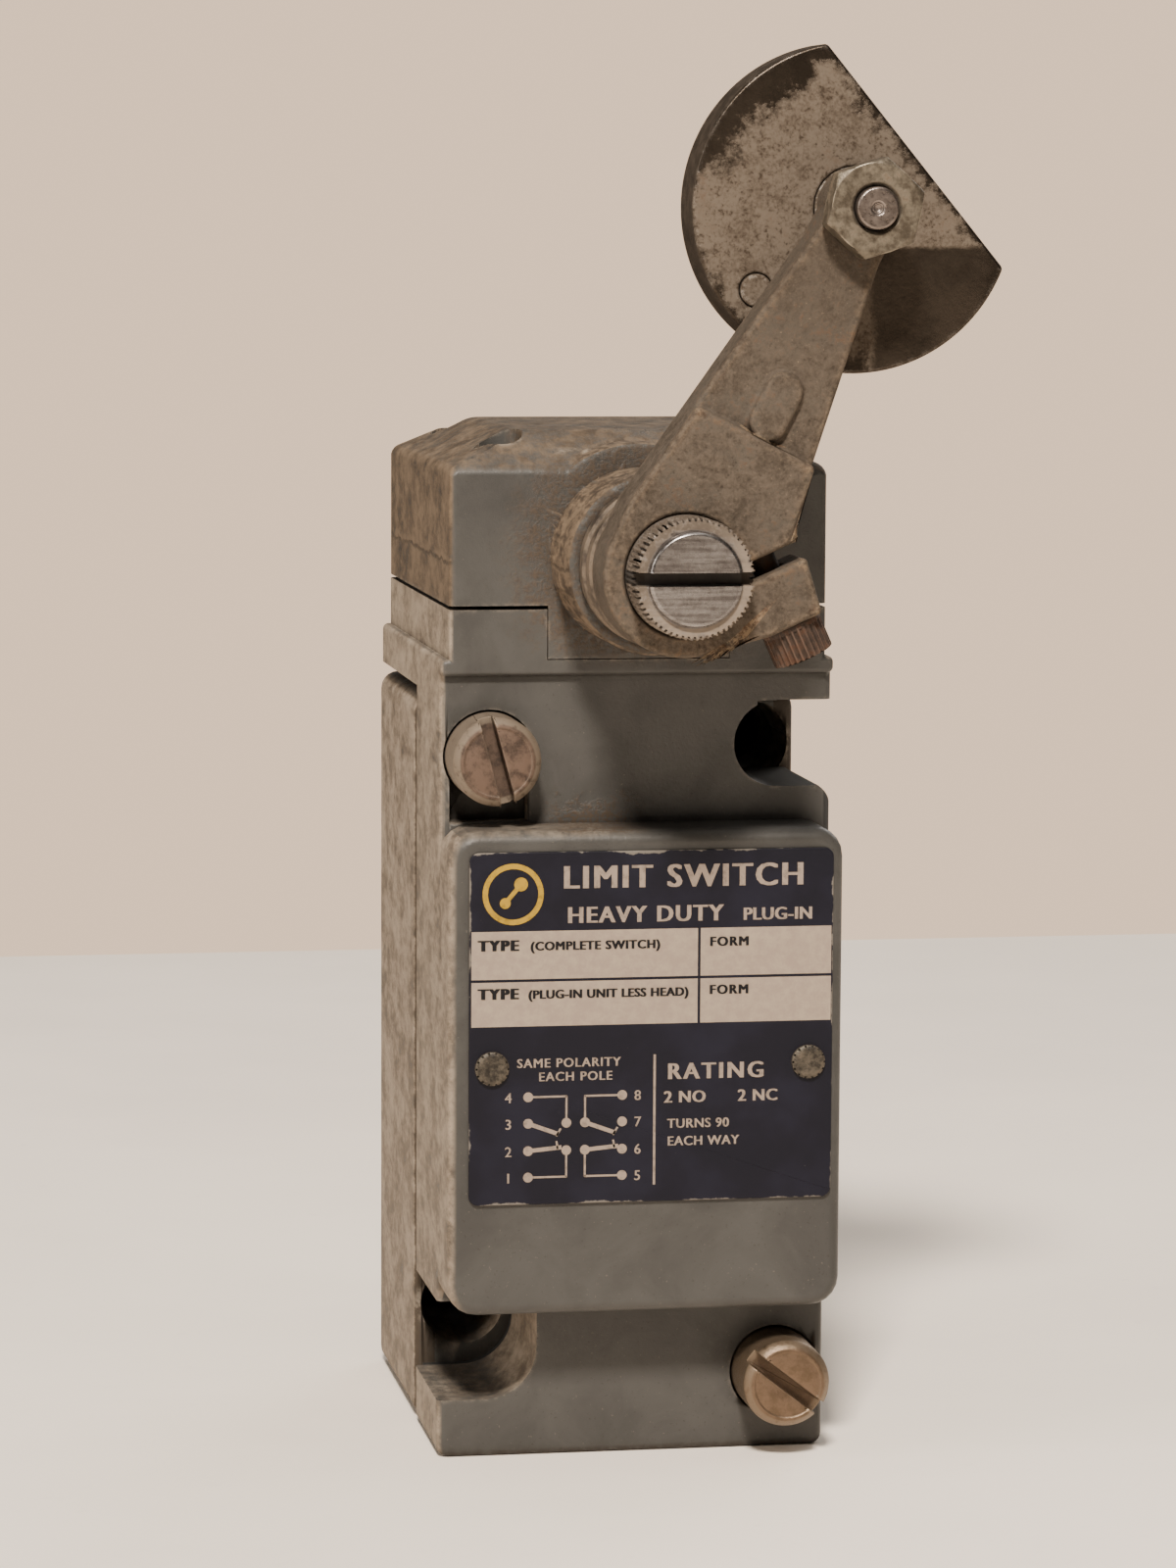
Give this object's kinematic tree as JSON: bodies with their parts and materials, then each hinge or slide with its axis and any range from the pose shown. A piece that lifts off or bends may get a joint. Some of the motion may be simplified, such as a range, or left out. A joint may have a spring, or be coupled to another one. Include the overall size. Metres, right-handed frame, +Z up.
{
  "type": "rotary lever limit switch",
  "caption": "Heavy duty plug-in limit switch: rotary head with a clamped lever carrying a cut steel disc, contact unit screwed onto a wiring receptacle.",
  "frame": {"origin": "middle of the two diagonal mounting holes, on the rear mounting face", "axes": "+Z up the switch towards the rotary head, +Y out of the rear mounting face, so the front with the nameplate faces -Y, +X to the right seen from the front"},
  "size_m": [0.0532, 0.0784, 0.1437],
  "materials": {
    "housing_paint": "grey-green enamel, dusty and worn",
    "shell_paint": "grey enamel under brown dust",
    "gasket_rubber": "black rubber",
    "terminal_moulding": "brown phenolic moulding",
    "block_moulding": "dark phenolic moulding",
    "cover_moulding": "tan phenolic moulding",
    "carrier_moulding": "ivory moulding",
    "brass": "dull brass",
    "silver_contact": "silver contact",
    "zinc_screw": "zinc plated",
    "green_screw": "green plated",
    "rusty_screw": "brown tarnished zinc",
    "rust_clamp": "rusty steel",
    "nameplate_ink": "navy and cream printed plate",
    "rivet_metal": "dull aluminium",
    "bronze": "sintered bronze",
    "bright_steel": "bright machined steel",
    "lever_metal": "dusty sintered steel",
    "disc_steel": "bare worn steel under dust",
    "nut_metal": "dull zinc",
    "spring_steel": "spring steel"
  },
  "bodies": {
    "receptacle": {"receptacle": "shell_paint", "receptacle_gasket": "gasket_rubber", "terminal_block": "terminal_moulding", "terminal_block_screws": "zinc_screw", "socket_contacts": "brass", "terminal_clamps": "zinc_screw", "terminal_screws": "zinc_screw", "ground_screw": "green_screw"},
    "unit": {"unit_housing": "housing_paint", "nameplate": "nameplate_ink", "nameplate_rivets": "rivet_metal", "cover_screws": "rusty_screw", "cover_screw_washers": "gasket_rubber", "contact_block": "block_moulding", "contact_block_cover": "cover_moulding", "contact_block_screws": "zinc_screw", "fixed_contacts_nc": "brass", "fixed_contacts_no": "brass", "plug_pins": "brass", "head_housing": "housing_paint", "head_gasket": "gasket_rubber", "head_screws": "zinc_screw", "shaft_bushing": "bronze", "rear_bearing": "bronze"},
    "shaft": {"shaft": "bright_steel", "shaft_retaining_ring": "spring_steel", "shaft_seal": "gasket_rubber", "lever": "lever_metal", "clamp_screw": "rust_clamp", "disc_stud": "nut_metal", "stud_nut": "nut_metal", "lock_washer": "nut_metal"},
    "disc": {"disc": "disc_steel", "disc_bushing": "bronze", "disc_rivet": "disc_steel"},
    "rack_right": {"rack_right": "bright_steel", "carrier_right": "carrier_moulding", "bridge_right": "silver_contact", "contact_springs_right": "spring_steel", "return_spring_right": "spring_steel"},
    "rack_left": {"rack_left": "bright_steel", "carrier_left": "carrier_moulding", "bridge_left": "silver_contact", "contact_springs_left": "spring_steel", "return_spring_left": "spring_steel"}
  },
  "joints": [
    {"name": "unit_pull", "type": "slide", "parent": "receptacle", "child": "unit", "axis": [0, -1, 0], "range_m": [0, 0.06]},
    {"name": "shaft_turn", "type": "hinge", "parent": "unit", "child": "shaft", "pos_m": [0, -0.06, 0.0506], "axis": [0, 1, 0], "range_deg": [-90, 90], "stiffness_Nm_per_rad": 0.25},
    {"name": "disc_spin", "type": "hinge", "parent": "shaft", "child": "disc", "pos_m": [0.01793, -0.062, 0.08579], "axis": [0, 1, 0], "continuous": true},
    {"name": "rack_right_slide", "type": "slide", "parent": "unit", "child": "rack_right", "axis": [0, 0, 1], "range_m": [-0.00395, 0.00395], "deforming": ["return_spring_right"]},
    {"name": "rack_left_slide", "type": "slide", "parent": "unit", "child": "rack_left", "axis": [0, 0, 1], "range_m": [-0.00395, 0.00395], "deforming": ["return_spring_left"]}
  ],
  "couplings": [
    {"joint": "rack_right_slide", "follows": "shaft_turn", "m_per_rad": -0.0025},
    {"joint": "rack_left_slide", "follows": "shaft_turn", "m_per_rad": 0.0025}
  ]
}
